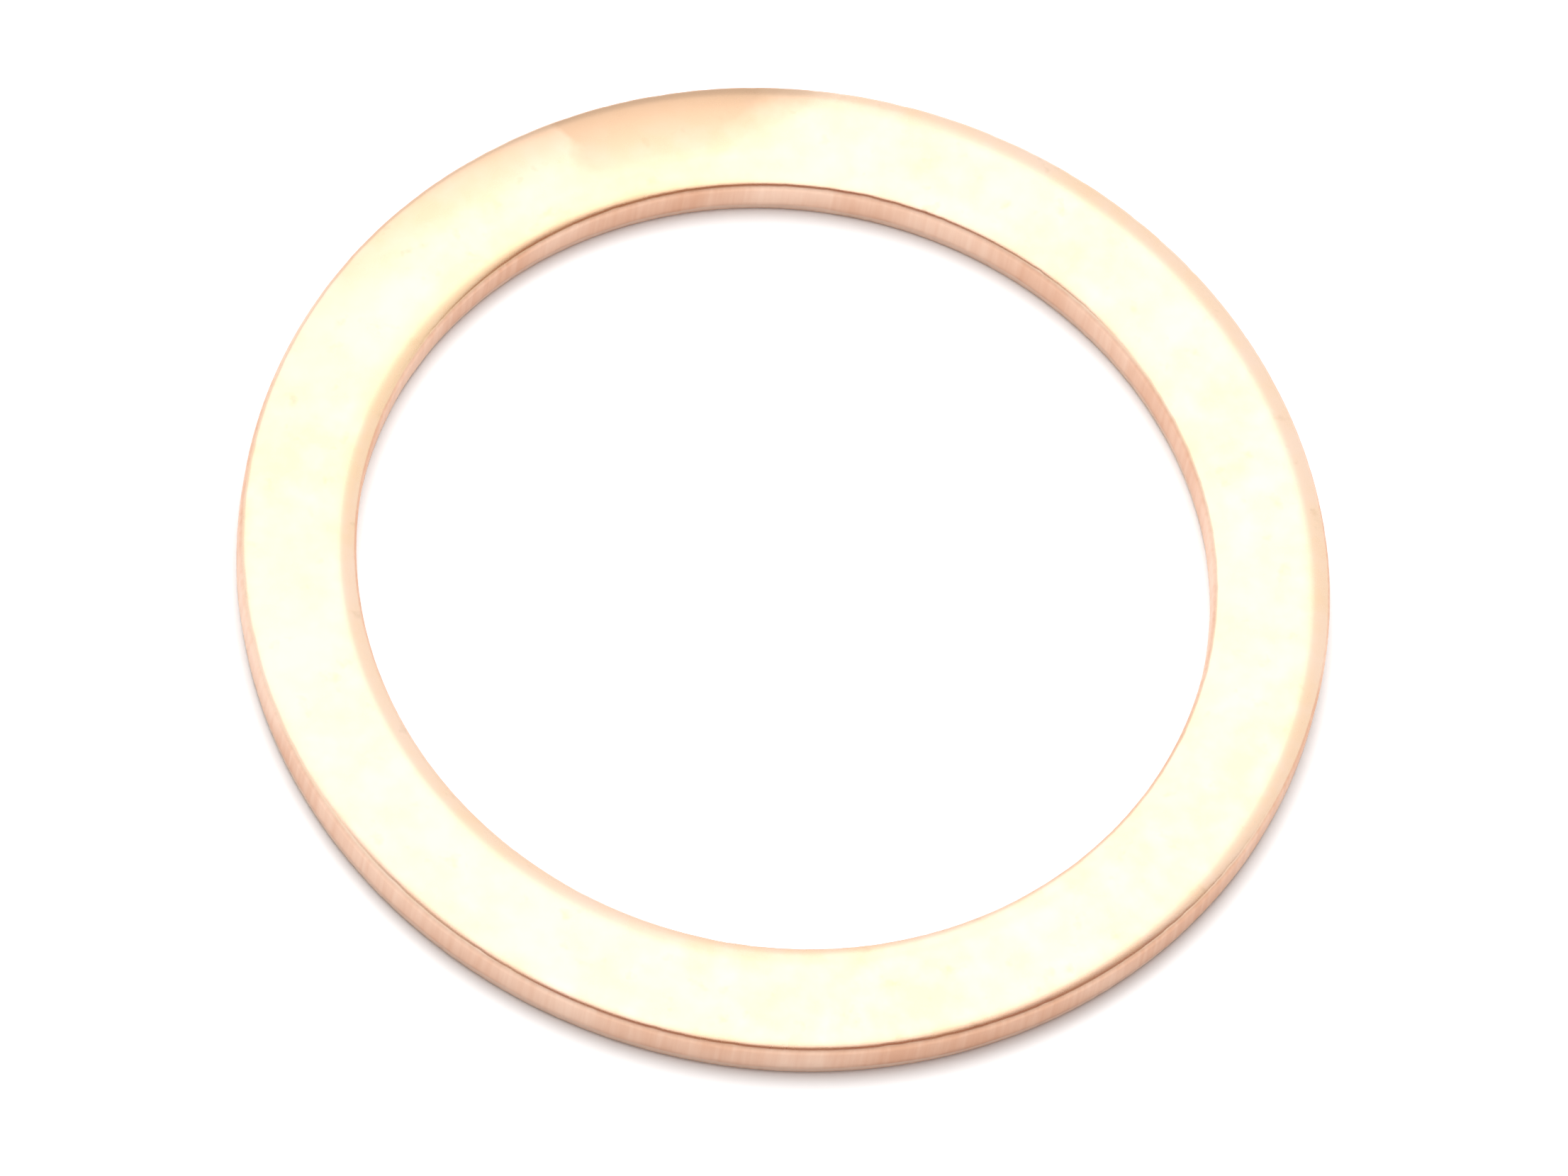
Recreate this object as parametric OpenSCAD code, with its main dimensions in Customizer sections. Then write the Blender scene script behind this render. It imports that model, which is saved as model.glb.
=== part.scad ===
// Flat copper crush washer: a soft sealing ring, blanked and pierced from sheet in one stroke.
// It lies flat on the XY plane with its axis on Z, and the face that was rolled over looks up.
// All lengths are in millimetres.

/* [Ring] */
// Outside diameter, across the sheared land
outer_d = 30.7; // [12:0.1:60]
// Width of the ring, from the outside in to the bore
ring_w = 3.3; // [1.8:0.1:8]
// Thickness, from face to face
thickness = 1.45; // [0.8:0.05:3]

/* [Blanked edges] */
// Width of the die roll, in from the cut edge
roll_w = 0.7; // [0.3:0.05:1.2]
// Depth of the die roll at the cut edge
roll_h = 0.18; // [0.06:0.01:0.4]
// Radius of the nose between the die roll and the sheared land
nose_r = 0.22; // [0.02:0.01:0.3]
// Height of the breakout, where the sheet tore below the sheared land
breakout_h = 0.35; // [0.1:0.05:0.6]
// How far the breakout leans in from the sheared land
breakout_in = 0.05; // [0.01:0.01:0.15]

/* [Hidden] */
$fn = 180;

outer_r = outer_d / 2;
bore_r = outer_r - ring_w;

// The die roll is an arc that leaves the flat face tangent and drops roll_h over roll_w
roll_r = (roll_w ^ 2 + roll_h ^ 2) / (2 * roll_h);
roll_z = thickness - roll_r;

// The nose is an arc tangent to the die roll and to the land
nose_z = roll_z + sqrt((roll_r - nose_r) ^ 2 - (roll_w - nose_r) ^ 2);
nose_share = roll_r / (roll_r - nose_r);
nose_top_x = roll_w + (nose_r - roll_w) * nose_share;
nose_top_z = roll_z + (nose_z - roll_z) * nose_share;

// How far the cutting outlines reach past the metal
past = thickness;

// Metal lost at one blanked edge: x runs into the metal from the land, y is the height

module die_roll_loss() {
    difference() {
        translate([-past, thickness - roll_h]) square([past + roll_w, roll_h + past]);
        translate([roll_w, roll_z]) circle(roll_r);
    }
}

module nose_loss() {
    difference() {
        translate([-past, nose_z]) square([past + nose_top_x, nose_top_z - nose_z]);
        translate([nose_r, nose_z]) circle(nose_r);
    }
}

module breakout_loss() {
    polygon([
        [0, breakout_h],
        [breakout_in, 0],
        [breakout_in, -past],
        [-past, -past],
        [-past, breakout_h],
    ]);
}

module edge_loss() {
    die_roll_loss();
    nose_loss();
    breakout_loss();
}

// Half section of the ring, to the right of its axis

module ring_section() {
    difference() {
        translate([bore_r, 0]) square([ring_w, thickness]);
        translate([bore_r, 0]) edge_loss();
        translate([outer_r, 0]) mirror([1, 0]) edge_loss();
    }
}

module crush_washer() {
    color("#EABB9E") rotate_extrude() ring_section();
}

crush_washer();
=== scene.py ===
"""A flat copper crush washer with the marks of its blanking, in a plain studio.

World axes as the picture is taken: X to the right, Y away from the camera, Z up. Lengths are in metres.
"""

import math

import bpy
from mathutils import Matrix, Vector, noise


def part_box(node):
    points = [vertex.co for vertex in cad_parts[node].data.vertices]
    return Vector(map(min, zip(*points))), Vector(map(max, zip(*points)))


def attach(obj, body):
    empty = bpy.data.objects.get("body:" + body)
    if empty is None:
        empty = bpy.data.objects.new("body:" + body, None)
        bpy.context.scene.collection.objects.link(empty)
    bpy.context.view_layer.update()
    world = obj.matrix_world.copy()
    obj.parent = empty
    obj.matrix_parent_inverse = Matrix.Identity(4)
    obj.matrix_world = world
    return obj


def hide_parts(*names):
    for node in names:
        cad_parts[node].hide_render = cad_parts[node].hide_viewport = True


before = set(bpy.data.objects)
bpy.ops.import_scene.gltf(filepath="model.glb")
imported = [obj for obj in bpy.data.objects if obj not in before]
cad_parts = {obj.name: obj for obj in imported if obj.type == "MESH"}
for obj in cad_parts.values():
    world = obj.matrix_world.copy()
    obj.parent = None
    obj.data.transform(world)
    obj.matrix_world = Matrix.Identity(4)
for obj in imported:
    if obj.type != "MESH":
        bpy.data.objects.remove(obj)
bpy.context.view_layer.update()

MM = 0.001

# The blanked edges, as on the solid
ROLL_W = 0.7 * MM
ROLL_H = 0.18 * MM
NOSE_R = 0.22 * MM
BREAKOUT_H = 0.35 * MM
BREAKOUT_IN = 0.05 * MM

# The softer run from the roll into the face, and the marks on the ring, which the solid leaves out
ROLL_EASE = 0.4 * MM
FOOT_R = 0.03 * MM
FACE_WAVE = 0.006 * MM
FACE_WAVE_LENGTH = 4 * MM
NICK_DEPTH = 0.02 * MM
NICK_LENGTH = 0.6 * MM
SMALL_NICK_SHARE = 0.5
SMALL_NICK_LENGTH = NICK_LENGTH / 3
STREAK_DEPTH = 0.005 * MM
STREAK_LENGTH = 0.25 * MM
TEAR_DEPTH = 0.03 * MM
TEAR_LENGTH = 0.2 * MM
TEAR_LINE_SWAY = 0.08 * MM
TEAR_LINE_LENGTH = 1.6 * MM

# How high up in the noise each edge and each mark is read, so that no two of them follow each other
OUTSIDE_SEED = 20
BORE_SEED = 60
SMALL_NICK_SEED = 1
STREAK_SEED = 3
TEAR_LINE_SEED = 7

# The zones of the section that were sheared or torn, and those that were torn
CUT_ZONES = ("land", "breakout", "foot")
TORN_ZONES = ("breakout", "foot")

# The shares of the nose, up from the land, between which the sheared finish fades out
CUT_FADE_FROM = 0.6
CUT_FADE_TO = 0.8

# How finely the ring is divided
AROUND = 1200
EASE_STEPS = 4
ROLL_STEPS = 8
NOSE_STEPS = 10
LAND_STEPS = 6
BREAKOUT_STEPS = 4
FOOT_STEPS = 2
FACE_STEPS = 6
BACK_STEPS = 4

# The camera, from a fit of the rims in the photograph, in the photograph's pixels
PHOTO_W = 2212
FOCAL_PX = 40000
RING_D_PX = 1548
RING_RIGHT_PX = 2.6
RING_UP_PX = 32.0
VIEW_TILT = math.radians(28.9)
VIEW_ROLL = math.radians(12.4)
SENSOR_W_IN_MM = 36
CLIP_NEAR = 0.01
CLIP_FAR = 10

# A Mix node's sockets are counted, because their names repeat: what lies below, and what lies above it
MIX_SHARE = 0
COLOUR_BELOW = 6
COLOUR_ABOVE = 7
MIXED_COLOUR = 2
NUMBER_BELOW = 2
NUMBER_ABOVE = 3
MIXED_NUMBER = 0


def linear(hex_colour):
    """An sRGB hex colour as linear red, green, blue and alpha, by the curve of the sRGB standard."""
    shares = [int(hex_colour[i:i + 2], 16) / 255 for i in (1, 3, 5)]
    return [s / 12.92 if s <= 0.04045 else ((s + 0.055) / 1.055) ** 2.4 for s in shares] + [1.0]


def grey(level):
    """A grey that is this many times as bright as white."""
    return [level] * 3 + [1.0]


def toward(azimuth):
    """The level direction at this azimuth, clockwise from the back as seen from above."""
    return Vector((math.sin(azimuth), math.cos(azimuth), 0))


def per(size):
    """The scale at which a pattern's features are about this size."""
    return 1 / size


def steps(count):
    """Shares from 0 up to but not including 1."""
    return [i / count for i in range(count)]


def between(start, end, share):
    return start + (end - start) * share


def as_share(value):
    """A value from -1 to 1 as a share from 0 to 1."""
    return 0.5 + 0.5 * value


def add_node(tree, kind, inputs=None, **settings):
    """Adds a node with its settings, and sets its inputs to values or links them to other nodes' outputs."""
    node = tree.nodes.new(kind)
    for name, value in settings.items():
        setattr(node, name, value)
    for socket, value in (inputs or {}).items():
        if isinstance(value, bpy.types.NodeSocket):
            tree.links.new(value, node.inputs[socket])
        else:
            node.inputs[socket].default_value = value
    return node


def new_object(name, data):
    piece = bpy.data.objects.new(name, data)
    bpy.context.scene.collection.objects.link(piece)
    return piece


def new_material(name):
    material = bpy.data.materials.new(name)
    material.use_nodes = True
    material.node_tree.nodes.clear()
    return material, material.node_tree


# The ring

radii = [v.co.xy.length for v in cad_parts["crush_washer"].data.vertices]
OUTER_R = max(radii)
BORE_R = min(radii)
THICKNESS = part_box("crush_washer")[1].z


def edge_section():
    """One blanked edge, from its foot up to the flat face, as (inset from the land, height, zone, share).

    The ease is a cubic whose bend grows evenly, from none at the face to the roll's own, so the roll that
    it leads into lies a little lower than the solid's.
    """
    roll_r = (ROLL_W ** 2 + ROLL_H ** 2) / (2 * ROLL_H)
    roll_z = THICKNESS - roll_r - ROLL_EASE ** 2 / (24 * roll_r)
    nose_z = roll_z + math.sqrt((roll_r - NOSE_R) ** 2 - (ROLL_W - NOSE_R) ** 2)
    roll_tilt = math.asin((ROLL_W - NOSE_R) / (roll_r - NOSE_R))
    ease_tilt = math.asin(ROLL_EASE / 2 / roll_r)
    rows = []
    for s in steps(FOOT_STEPS):
        turn = s * math.pi / 2
        inset = BREAKOUT_IN + FOOT_R * (1 - math.sin(turn))
        rows.append((inset, FOOT_R * (1 - math.cos(turn)), "foot", s))
    for s in steps(BREAKOUT_STEPS):
        rows.append((BREAKOUT_IN * (1 - s), between(FOOT_R, BREAKOUT_H, s), "breakout", s))
    for s in steps(LAND_STEPS):
        rows.append((0, between(BREAKOUT_H, nose_z, s), "land", s))
    for s in steps(NOSE_STEPS):
        tilt = between(math.pi / 2, roll_tilt, s)
        rows.append((NOSE_R * (1 - math.sin(tilt)), nose_z + NOSE_R * math.cos(tilt), "nose", s))
    for s in steps(ROLL_STEPS):
        tilt = between(roll_tilt, ease_tilt, s)
        rows.append((ROLL_W - roll_r * math.sin(tilt), roll_z + roll_r * math.cos(tilt), "roll", s))
    for s in steps(EASE_STEPS):
        left = ROLL_EASE * (1 - s)
        drop = left ** 3 / (6 * ROLL_EASE * roll_r)
        rows.append((ROLL_W + ROLL_EASE / 2 - left, THICKNESS - drop, "ease", s))
    return rows


def ring_section():
    """The whole section as (radius, height, zone, share, inward direction) rows, once round."""
    edge = edge_section()
    outside = [(OUTER_R - inset, z, zone, s, -1) for inset, z, zone, s in edge]
    inside = [(BORE_R + inset, z, zone, s, 1) for inset, z, zone, s in reversed(edge)]
    flat_from = ROLL_W + ROLL_EASE / 2
    face_radii = [between(OUTER_R - flat_from, BORE_R + flat_from, s) for s in steps(FACE_STEPS) + [1]]
    back_radii = [between(inside[-1][0], outside[0][0], s) for s in steps(BACK_STEPS)[1:]]
    face = [(radius, THICKNESS, "face", 1, 0) for radius in face_radii]
    back = [(radius, 0, "back", 1, 0) for radius in back_radii]
    return outside + face + inside + back


def sway(around, size, seed):
    """Smooth noise from -1 to 1 along the ring, with features of this size."""
    return noise.noise(around * (OUTER_R / size) + Vector((0, 0, seed)))


def marked(radius, z, zone, share, inward, around):
    """A point of the section with the marks of its zone: lost metal, and a torn line that wanders."""
    seed = BORE_SEED if inward > 0 else OUTSIDE_SEED
    loss = 0
    if zone in ("face", "ease"):
        fade = share if zone == "ease" else 1
        z -= FACE_WAVE * fade * as_share(noise.noise(around * (radius / FACE_WAVE_LENGTH)))
    if zone == "nose":
        nick = sway(around, NICK_LENGTH, seed)
        nick += SMALL_NICK_SHARE * sway(around, SMALL_NICK_LENGTH, seed + SMALL_NICK_SEED)
        loss = NICK_DEPTH * math.sin(math.pi * share) * max(0, nick)
    if zone == "land":
        loss = STREAK_DEPTH * as_share(sway(around, STREAK_LENGTH, seed + STREAK_SEED))
    if zone in TORN_ZONES:
        fade = share if zone == "foot" else 1
        loss = TEAR_DEPTH * as_share(sway(around, TEAR_LENGTH, seed + z / TEAR_LENGTH)) * fade
    if zone in ("land", "breakout"):
        near = max(0, 1 - abs(z - BREAKOUT_H) / BREAKOUT_H)
        z += TEAR_LINE_SWAY * near * sway(around, TEAR_LINE_LENGTH, seed + TEAR_LINE_SEED)
    radius += inward * loss
    return (radius * around.x, radius * around.y, z)


def cut_share(zone, share):
    """How much of the sheared finish there is: all of it on the wall, and it fades out high on the nose."""
    if zone == "nose":
        return min(1, max(0, (CUT_FADE_TO - share) / (CUT_FADE_TO - CUT_FADE_FROM)))
    return float(zone in CUT_ZONES)


def make_ring():
    section = ring_section()
    rows = len(section)
    points = []
    cut = []
    torn = []
    for i in range(AROUND):
        angle = 2 * math.pi * i / AROUND
        around = Vector((math.cos(angle), math.sin(angle), 0))
        for radius, z, zone, share, inward in section:
            points.append(marked(radius, z, zone, share, inward, around))
            cut.append(cut_share(zone, share))
            torn.append(float(zone in TORN_ZONES))
    faces = []
    for i in range(AROUND):
        here = i * rows
        there = (i + 1) % AROUND * rows
        for j in range(rows):
            k = (j + 1) % rows
            faces.append((here + j, there + j, there + k, here + k))
    mesh = bpy.data.meshes.new("copper_ring")
    mesh.from_pydata(points, [], faces)
    for name, values in (("cut", cut), ("torn", torn)):
        mesh.attributes.new(name, "FLOAT", "POINT").data.foreach_set("value", values)
    mesh.polygons.foreach_set("use_smooth", [True] * len(faces))
    mesh.update()
    return new_object("copper_ring", mesh)


# The copper: its colours
BRIGHT_COPPER = "#FCDFC8"
HEAT_TINT = "#FBDAB8"
DULL_SMUDGE = "#C9A883"
# Painted reflection: the yellow of the lamps mirrored in the bore's roll at the far left
PAINTED_GOLDEN_REFLECTION = "#F8D5A2"
# Painted reflection: a duller rose patch at the far rim, where the face stops mirroring the bright lamp
PAINTED_ROSE_REFLECTION = "#C8A485"
PALE_WALL = "#FADAC4"
DEEP_WALL = "#E9B99B"
TORN_FOOT = "#F4DAC8"

# The real size of each pattern, and the detail of its noise
PATTERNS = {
    "tint": (0.9 * MM, 4),
    "cloud": (5 * MM, 2),
    "smudge": (0.7 * MM, 5),
    "grain": (0.12 * MM, 3),
}
WALL_STREAK_W = 0.2 * MM
WALL_STREAK_L = 4 * MM
WALL_STREAK_DETAIL = 3
WANDER = 1.2 * MM
WANDER_SIZE = 1.2 * MM
WANDER_DETAIL = 3
NOISE_MIDDLE = (0.5, 0.5, 0.5)

# The values of the noise between which each pattern comes in, and how much it then counts
TINT_FROM = 0.14
TINT_TO = 0.4
SMUDGE_FROM = 0.62
SMUDGE_TO = 0.78
SMUDGE_MOST = 0.35
STREAK_WEIGHT = 0.35
DEEP_FROM = 0.52
DEEP_TO = 0.84

# How rough the face, the sheared wall and the torn foot are, and how the fine grain stands out
SMOOTHEST_FACE = 0.22
ROUGHEST_FACE = 0.31
SHEARED_ROUGHNESS = 0.45
TORN_ROUGHNESS = 0.6
GRAIN_HEIGHT = 0.002 * MM
GRAIN_STRENGTH = 0.35

# Fades of the painted reflections, the duller rose patch and the golden band on the bore's roll, along a
# level direction: its azimuth in degrees, where the fade starts and ends in mm from the axis, and the share
# it ends with
FADES_ACROSS = (
    ("left", 40, 2.8, 3.6, 1),
    ("right", -58.2, 9.1, 10.7, 1),
    ("run", 65.6, -14, -3.5, 0.7),
    ("far_left", -48.4, 8, 11.5, 1),
)

# Their fades with the radius: where the fade starts and ends in mm, and the share at each end
FADES_WITH_RADIUS = (
    ("inner_end", 12.4, 13.4, 0, 1),
    ("outwards", 13.0, 14.9, 0.18, 0.88),
    ("roll", 13.6, 15.0, 0, 1),
    ("bore_roll", 13.0, 12.4, 0, 0.5),
)

# The fades that are multiplied for the painted reflections: the duller rose patch, its run along the rim,
# and the golden band on the bore's roll
PAINTED_REFLECTION_FADES = {
    "patch": ("left", "right", "inner_end", "outwards"),
    "rim": ("run", "right", "roll"),
    "bore": ("far_left", "bore_roll"),
}


def painted_reflection_shares(tree, place):
    """How much of each painted reflection there is. The rose patch stops short on its left side and fades on
    the others.
    """
    level = add_node(
        tree, "ShaderNodeVectorMath", {0: place, 1: (1, 1, 0)}, operation="MULTIPLY",
    )
    radius = add_node(
        tree, "ShaderNodeVectorMath", {0: level.outputs[0]}, operation="LENGTH",
    ).outputs["Value"]
    drift = add_node(
        tree, "ShaderNodeTexNoise",
        {"Vector": place, "Scale": per(WANDER_SIZE), "Detail": WANDER_DETAIL},
    )
    centred = add_node(
        tree, "ShaderNodeVectorMath", {0: drift.outputs["Color"], 1: NOISE_MIDDLE}, operation="SUBTRACT",
    )
    wandering = add_node(
        tree, "ShaderNodeVectorMath", {0: centred.outputs[0], 1: [WANDER] * 3, 2: place},
        operation="MULTIPLY_ADD",
    )
    fades = {}
    for name, azimuth, start, end, most in FADES_ACROSS:
        across = add_node(
            tree, "ShaderNodeVectorMath", {0: wandering.outputs[0], 1: toward(math.radians(azimuth))},
            operation="DOT_PRODUCT",
        ).outputs["Value"]
        fades[name] = add_node(
            tree, "ShaderNodeMapRange",
            {"Value": across, "From Min": start * MM, "From Max": end * MM, "To Max": most},
        ).outputs[0]
    for name, start, end, least, most in FADES_WITH_RADIUS:
        fades[name] = add_node(
            tree, "ShaderNodeMapRange",
            {"Value": radius, "From Min": start * MM, "From Max": end * MM, "To Min": least, "To Max": most},
        ).outputs[0]
    shares = {}
    for tint, names in PAINTED_REFLECTION_FADES.items():
        share = fades[names[0]]
        for name in names[1:]:
            share = add_node(
                tree, "ShaderNodeMath", {0: share, 1: fades[name]}, operation="MULTIPLY",
            ).outputs[0]
        shares[tint] = share
    return shares


def rolled_annealed_copper():
    """Copper sheet, cold rolled, blanked and bright annealed.

    The eye gets a satin mirror of rose metal with a yellower heat tint in soft patches, a painted reflection
    of the lamps as a golden band on the bore's roll at the far left, and a painted reflection as one duller
    rose patch at the far rim, which runs on along the rim to the left. It also has a few dull smudges, faint
    streaks down the duller sheared walls, and a torn foot.
    """
    material, tree = new_material("rolled_annealed_copper")
    place = add_node(tree, "ShaderNodeTexCoord").outputs["Object"]
    cut = add_node(tree, "ShaderNodeAttribute", attribute_name="cut").outputs["Fac"]
    torn = add_node(tree, "ShaderNodeAttribute", attribute_name="torn").outputs["Fac"]
    pattern = {}
    for name, (size, detail) in PATTERNS.items():
        pattern[name] = add_node(
            tree, "ShaderNodeTexNoise", {"Vector": place, "Scale": per(size), "Detail": detail},
        ).outputs["Fac"]

    patches = add_node(
        tree, "ShaderNodeMath", {0: pattern["tint"], 1: pattern["cloud"]}, operation="MULTIPLY",
    )
    tinted = add_node(
        tree, "ShaderNodeMapRange",
        {"Value": patches.outputs[0], "From Min": TINT_FROM, "From Max": TINT_TO},
    )
    smudged = add_node(
        tree, "ShaderNodeMapRange",
        {"Value": pattern["smudge"], "From Min": SMUDGE_FROM, "From Max": SMUDGE_TO, "To Max": SMUDGE_MOST},
    )
    shares = painted_reflection_shares(tree, place)
    # Painted reflection: the duller rose patch at the far rim and its run along the outer roll
    painted_dull_reflection = add_node(
        tree, "ShaderNodeMath", {0: shares["patch"], 1: shares["rim"]}, operation="MAXIMUM",
    )

    # The streaks are longer than the wall is high, so they run straight down its paler and deeper stretches
    along_wall = add_node(
        tree, "ShaderNodeMapping",
        {"Vector": place, "Scale": (per(WALL_STREAK_W), per(WALL_STREAK_W), per(WALL_STREAK_L))},
    )
    streaks = add_node(
        tree, "ShaderNodeTexNoise",
        {"Vector": along_wall.outputs[0], "Scale": 1.0, "Detail": WALL_STREAK_DETAIL},
    )
    stretches = add_node(
        tree, "ShaderNodeMath", {0: streaks.outputs["Fac"], 1: STREAK_WEIGHT, 2: pattern["cloud"]},
        operation="MULTIPLY_ADD",
    )
    deeper = add_node(
        tree, "ShaderNodeMapRange",
        {"Value": stretches.outputs[0], "From Min": DEEP_FROM, "From Max": DEEP_TO},
    )
    wall = add_node(
        tree, "ShaderNodeMix",
        {MIX_SHARE: deeper.outputs[0], COLOUR_BELOW: linear(PALE_WALL), COLOUR_ABOVE: linear(DEEP_WALL)},
        data_type="RGBA",
    )

    colour = linear(BRIGHT_COPPER)
    layers = (
        (tinted.outputs[0], linear(HEAT_TINT)),
        (smudged.outputs[0], linear(DULL_SMUDGE)),
        # Painted reflection: the golden band on the bore's roll at the far left
        (shares["bore"], linear(PAINTED_GOLDEN_REFLECTION)),
        # Painted reflection: the duller rose patch and its run along the rim
        (painted_dull_reflection.outputs[0], linear(PAINTED_ROSE_REFLECTION)),
        (cut, wall.outputs[MIXED_COLOUR]),
        (torn, linear(TORN_FOOT)),
    )
    for share, above in layers:
        colour = add_node(
            tree, "ShaderNodeMix", {MIX_SHARE: share, COLOUR_BELOW: colour, COLOUR_ABOVE: above},
            data_type="RGBA",
        ).outputs[MIXED_COLOUR]

    roughness = add_node(
        tree, "ShaderNodeMapRange",
        {"Value": pattern["tint"], "To Min": SMOOTHEST_FACE, "To Max": ROUGHEST_FACE},
    ).outputs[0]
    for share, above in ((cut, SHEARED_ROUGHNESS), (torn, TORN_ROUGHNESS)):
        roughness = add_node(
            tree, "ShaderNodeMix", {MIX_SHARE: share, NUMBER_BELOW: roughness, NUMBER_ABOVE: above},
            data_type="FLOAT",
        ).outputs[MIXED_NUMBER]

    bump = add_node(
        tree, "ShaderNodeBump",
        {"Strength": GRAIN_STRENGTH, "Distance": GRAIN_HEIGHT, "Height": pattern["grain"]},
    )
    metal = add_node(
        tree, "ShaderNodeBsdfPrincipled",
        {"Base Color": colour, "Metallic": 1.0, "Roughness": roughness, "Normal": bump.outputs[0]},
    )
    add_node(tree, "ShaderNodeOutputMaterial", {"Surface": metal.outputs[0]})
    return material


ring = make_ring()
ring.data.materials.append(rolled_annealed_copper())
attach(ring, "root")
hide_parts("crush_washer")


# The camera

def place_camera():
    camera = new_object("camera", bpy.data.cameras.new("camera"))
    camera.data.sensor_width = SENSOR_W_IN_MM
    camera.data.lens = FOCAL_PX / PHOTO_W * SENSOR_W_IN_MM
    per_px = 2 * OUTER_R / RING_D_PX
    turn = Matrix.Rotation(VIEW_TILT, 4, "X") @ Matrix.Rotation(VIEW_ROLL, 4, "Z")
    rim_centre = Vector((0, 0, THICKNESS - ROLL_H))
    to_camera = Vector((-RING_RIGHT_PX, -RING_UP_PX, FOCAL_PX)) * per_px
    camera.matrix_world = Matrix.Translation(rim_centre + turn.to_3x3() @ to_camera) @ turn
    camera.data.clip_start = CLIP_NEAR
    camera.data.clip_end = CLIP_FAR
    bpy.context.scene.camera = camera


place_camera()


# The studio: one lamp and the sky light the floor, and cards that only the metal shows stand for the rest.
# LEFT and BACK are turns from straight above the ring, FROM is the distance from it, and HALF_W and HALF_L
# are half the angles that a card fills as the ring sees it.

WHITE = "#FFFFFF"
KEY_LIGHT = 0.8
KEY_FROM = 0.5
KEY_SIDE = 0.384
KEY_LEFT = math.radians(5)
KEY_BACK = math.radians(13.5)
SKY_FILL = "#7C7C7C"

# The floor's paper: its own colour, and its levels for the camera and in the metal
FLOOR_SIDE = 3.0
PAPER = "#E6E6E6"
PAPER_SEEN = 1.6
PAPER_REFLECTED = 1.28

SOFTBOX_RADIANCE = 1.6
SOFTBOX_FROM = 0.132
SOFTBOX_LEFT = math.radians(23.5)
SOFTBOX_BACK = math.radians(28.9)
SOFTBOX_HALF_W = math.radians(24)
SOFTBOX_HALF_L = math.radians(31.9)

# The umbrella's turn is the azimuth of its long axis
UMBRELLA_RADIANCE = 1.8
UMBRELLA_FROM = 1.06
UMBRELLA_LEFT = math.radians(2.2)
UMBRELLA_BACK = math.radians(9.2)
UMBRELLA_TURN = math.radians(150)
UMBRELLA_HALF_L = math.radians(28.5)
UMBRELLA_HALF_W = math.radians(25.2)
UMBRELLA_CORNERS = 64

# The ceiling fills the angles from LOW to HIGH above the horizon on the side that it lies toward
CEILING_COLOUR = "#A07260"
CEILING_HEIGHT = 1.5
CEILING_TOWARD = math.radians(173)
CEILING_LOW = math.radians(28)
CEILING_HIGH = math.radians(92)
CEILING_REACH_LEFT = 1.1
CEILING_REACH_RIGHT = 2.6


def from_above(left, back, away):
    """The place this far above the ring, swung to the left and to the back, where a card faces the ring."""
    swing = Matrix.Rotation(-back, 4, "X") @ Matrix.Rotation(-left, 4, "Y")
    return swing @ Matrix.Translation((0, 0, away))


def rectangle(half_w, half_l):
    return [(-half_w, -half_l, 0), (half_w, -half_l, 0), (half_w, half_l, 0), (-half_w, half_l, 0)]


def place_key():
    """A soft lamp above, for the narrow shadow. The metal shows the cards in its place.

    Its power grows with the square of its distance, so KEY_LIGHT stays the level that it gives the floor.
    """
    key = new_object("key", bpy.data.lights.new("key", "AREA"))
    key.data.size = KEY_SIDE
    key.data.energy = KEY_LIGHT * (math.pi * KEY_FROM) ** 2
    key.matrix_world = from_above(KEY_LEFT, KEY_BACK, KEY_FROM)
    key.visible_camera = False
    key.visible_glossy = False


def seen_in_metal(path):
    """1 for what is seen by reflection or through glass, 0 for the light that metal throws on the floor."""
    tree = path.id_data
    mirrored = add_node(
        tree, "ShaderNodeMath",
        {0: path.outputs["Is Glossy Ray"], 1: path.outputs["Is Transmission Ray"]}, operation="MAXIMUM",
    )
    return add_node(
        tree, "ShaderNodeMath", {0: mirrored.outputs[0], 1: path.outputs["Diffuse Depth"]},
        operation="SUBTRACT", use_clamp=True,
    ).outputs[0]


def make_world():
    """A white sweep, dimmer where it only lights the floor.

    It isn't sampled as a lamp, because the cards, which cast no shadow, wouldn't hide it from the metal.
    """
    world = bpy.data.worlds.new("white_sweep")
    world.use_nodes = True
    world.cycles.sampling_method = "NONE"
    tree = world.node_tree
    tree.nodes.clear()
    path = add_node(tree, "ShaderNodeLightPath")
    seen = add_node(
        tree, "ShaderNodeMath", {0: path.outputs["Is Camera Ray"], 1: seen_in_metal(path)},
        operation="MAXIMUM",
    )
    colour = add_node(
        tree, "ShaderNodeMix",
        {MIX_SHARE: seen.outputs[0], COLOUR_BELOW: linear(SKY_FILL), COLOUR_ABOVE: linear(WHITE)},
        data_type="RGBA",
    )
    sweep = add_node(
        tree, "ShaderNodeBackground", {"Color": colour.outputs[MIXED_COLOUR], "Strength": 1.0},
    )
    add_node(tree, "ShaderNodeOutputWorld", {"Surface": sweep.outputs[0]})
    bpy.context.scene.world = world


def make_card(name, corners, material):
    mesh = bpy.data.meshes.new(name)
    mesh.from_pydata(corners, [], [tuple(range(len(corners)))])
    mesh.materials.append(material)
    card = new_object(name, mesh)
    return card


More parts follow.
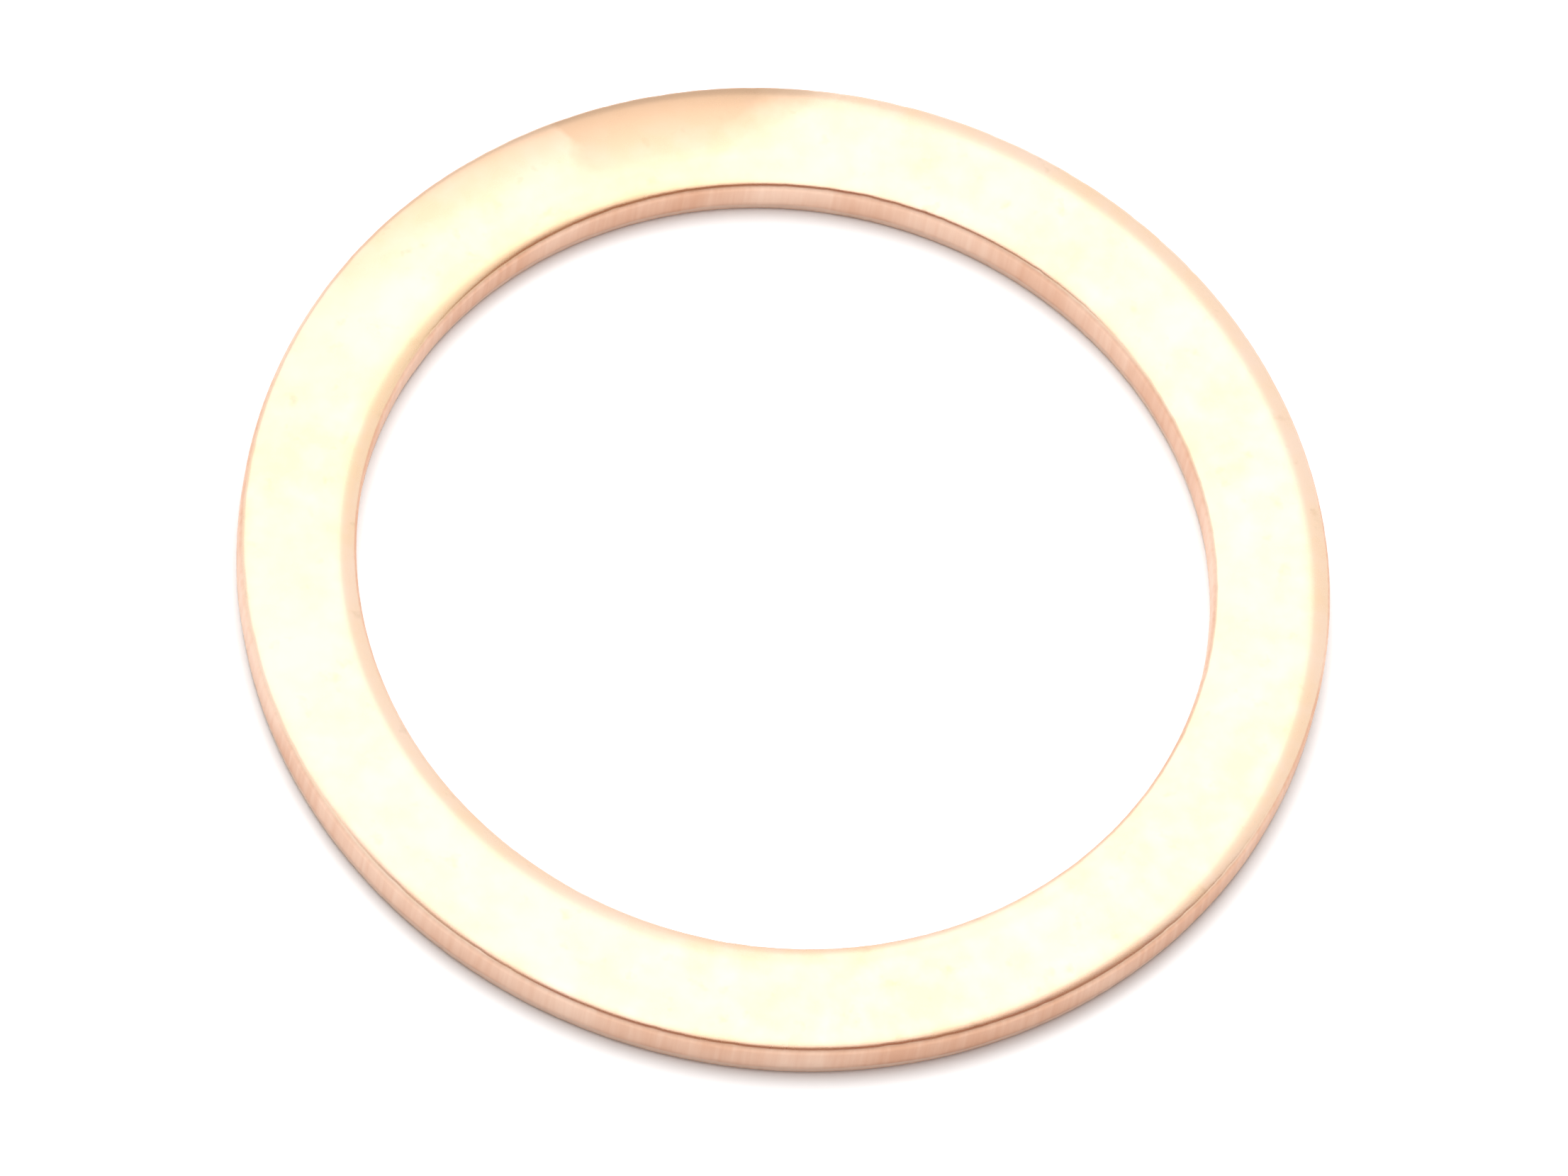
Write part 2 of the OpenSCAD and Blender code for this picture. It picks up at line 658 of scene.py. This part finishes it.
def white_paper():
    """Matt white paper, lighter where it is seen, so that it comes out white around the shadow."""
    material, tree = new_material("white_paper")
    path = add_node(tree, "ShaderNodeLightPath")
    colour = linear(PAPER)
    levels = (
        (seen_in_metal(path), PAPER_REFLECTED),
        (path.outputs["Is Camera Ray"], PAPER_SEEN),
    )
    for share, level in levels:
        colour = add_node(
            tree, "ShaderNodeMix", {MIX_SHARE: share, COLOUR_BELOW: colour, COLOUR_ABOVE: grey(level)},
            data_type="RGBA",
        ).outputs[MIXED_COLOUR]
    paper = add_node(tree, "ShaderNodeBsdfDiffuse", {"Color": colour})
    add_node(tree, "ShaderNodeOutputMaterial", {"Surface": paper.outputs[0]})
    return material


def make_floor():
    make_card("floor", rectangle(FLOOR_SIDE / 2, FLOOR_SIDE / 2), white_paper())


def make_reflection(name, corners, colour, radiance=1.0):
    """A glowing card that only the metal shows. It isn't sampled as a lamp, so a nearer card hides it."""
    material, tree = new_material(name)
    material.cycles.emission_sampling = "NONE"
    glow = add_node(tree, "ShaderNodeEmission", {"Color": linear(colour), "Strength": radiance})
    add_node(tree, "ShaderNodeOutputMaterial", {"Surface": glow.outputs[0]})
    card = make_card(name, corners, material)
    card.visible_camera = False
    card.visible_diffuse = False
    card.visible_shadow = False
    card.visible_transmission = False
    return card


def make_softbox():
    """A softbox close above, to the left and the back, which the left half of the face mirrors."""
    half_w = SOFTBOX_FROM * math.tan(SOFTBOX_HALF_W)
    half_l = SOFTBOX_FROM * math.tan(SOFTBOX_HALF_L)
    softbox = make_reflection("softbox", rectangle(half_w, half_l), WHITE, SOFTBOX_RADIANCE)
    softbox.matrix_world = from_above(SOFTBOX_LEFT, SOFTBOX_BACK, SOFTBOX_FROM)


def make_umbrella():
    """An oval white umbrella high above, which the right half of the face and the rolls there mirror."""
    along = toward(UMBRELLA_TURN) * UMBRELLA_FROM * math.tan(UMBRELLA_HALF_L)
    across = toward(UMBRELLA_TURN - math.pi / 2) * UMBRELLA_FROM * math.tan(UMBRELLA_HALF_W)
    turns = [2 * math.pi * s for s in steps(UMBRELLA_CORNERS)]
    corners = [along * math.cos(t) + across * math.sin(t) for t in turns]
    umbrella = make_reflection("umbrella", corners, WHITE, UMBRELLA_RADIANCE)
    umbrella.matrix_world = from_above(UMBRELLA_LEFT, UMBRELLA_BACK, UMBRELLA_FROM)


def make_ceiling():
    """The brown ceiling on the camera's side, which draws the dark line along the near corners."""
    ahead = toward(CEILING_TOWARD)
    left = toward(CEILING_TOWARD + math.pi / 2) * CEILING_REACH_LEFT
    right = toward(CEILING_TOWARD - math.pi / 2) * CEILING_REACH_RIGHT
    far = ahead * CEILING_HEIGHT / math.tan(CEILING_LOW) + Vector((0, 0, CEILING_HEIGHT))
    near = ahead * CEILING_HEIGHT / math.tan(CEILING_HIGH) + Vector((0, 0, CEILING_HEIGHT))
    make_reflection("ceiling", [near + right, near + left, far + left, far + right], CEILING_COLOUR)


place_key()
make_world()
make_floor()
make_softbox()
make_umbrella()
make_ceiling()

bpy.context.scene.view_settings.view_transform = "Standard"
